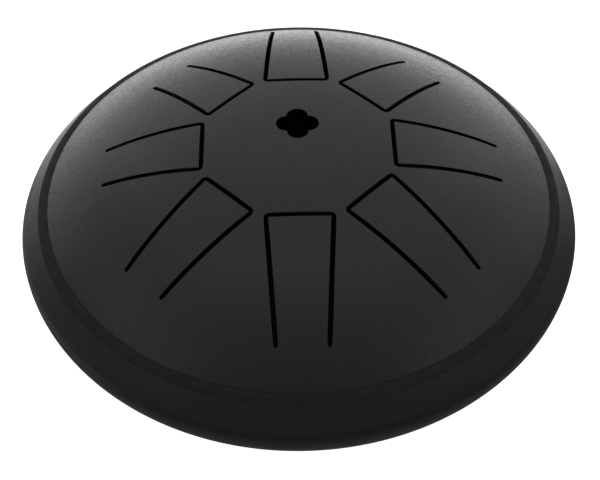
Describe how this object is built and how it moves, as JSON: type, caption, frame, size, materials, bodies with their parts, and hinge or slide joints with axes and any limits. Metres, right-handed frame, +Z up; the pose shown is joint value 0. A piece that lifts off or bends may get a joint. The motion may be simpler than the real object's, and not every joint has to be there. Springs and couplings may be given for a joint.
{
  "type": "tongue drum",
  "caption": "Small round steel tongue drum: a slotted, pierced dome set in a rubber ring on a conical bowl with a flat base and small rubber feet.",
  "frame": {"origin": "on the drum's centre line, at the level of the surface that its feet stand on", "axes": "+Z up along the drum's centre line; +Y towards the back, the side that the sound hole is set towards and that the longest tongue points to; +X to the player's right"},
  "size_m": [0.14, 0.14, 0.07],
  "materials": {
    "top_shell": "black powder coat with a fine grain, semi-gloss",
    "rim_ring": "matt black rubber",
    "bottom_shell": "smooth satin black paint",
    "feet": "matt black rubber",
    "fasteners": "zinc-plated steel"
  },
  "bodies": {
    "root": {"top_shell": "top_shell", "rim_ring": "rim_ring", "bottom_shell": "bottom_shell", "foot_front": "feet", "foot_back_left": "feet", "foot_back_right": "feet", "foot_screw_front": "fasteners", "foot_screw_back_left": "fasteners", "foot_screw_back_right": "fasteners", "foot_washer_front": "fasteners", "foot_washer_back_left": "fasteners", "foot_washer_back_right": "fasteners", "foot_nut_front": "fasteners", "foot_nut_back_left": "fasteners", "foot_nut_back_right": "fasteners"}
  },
  "joints": []
}
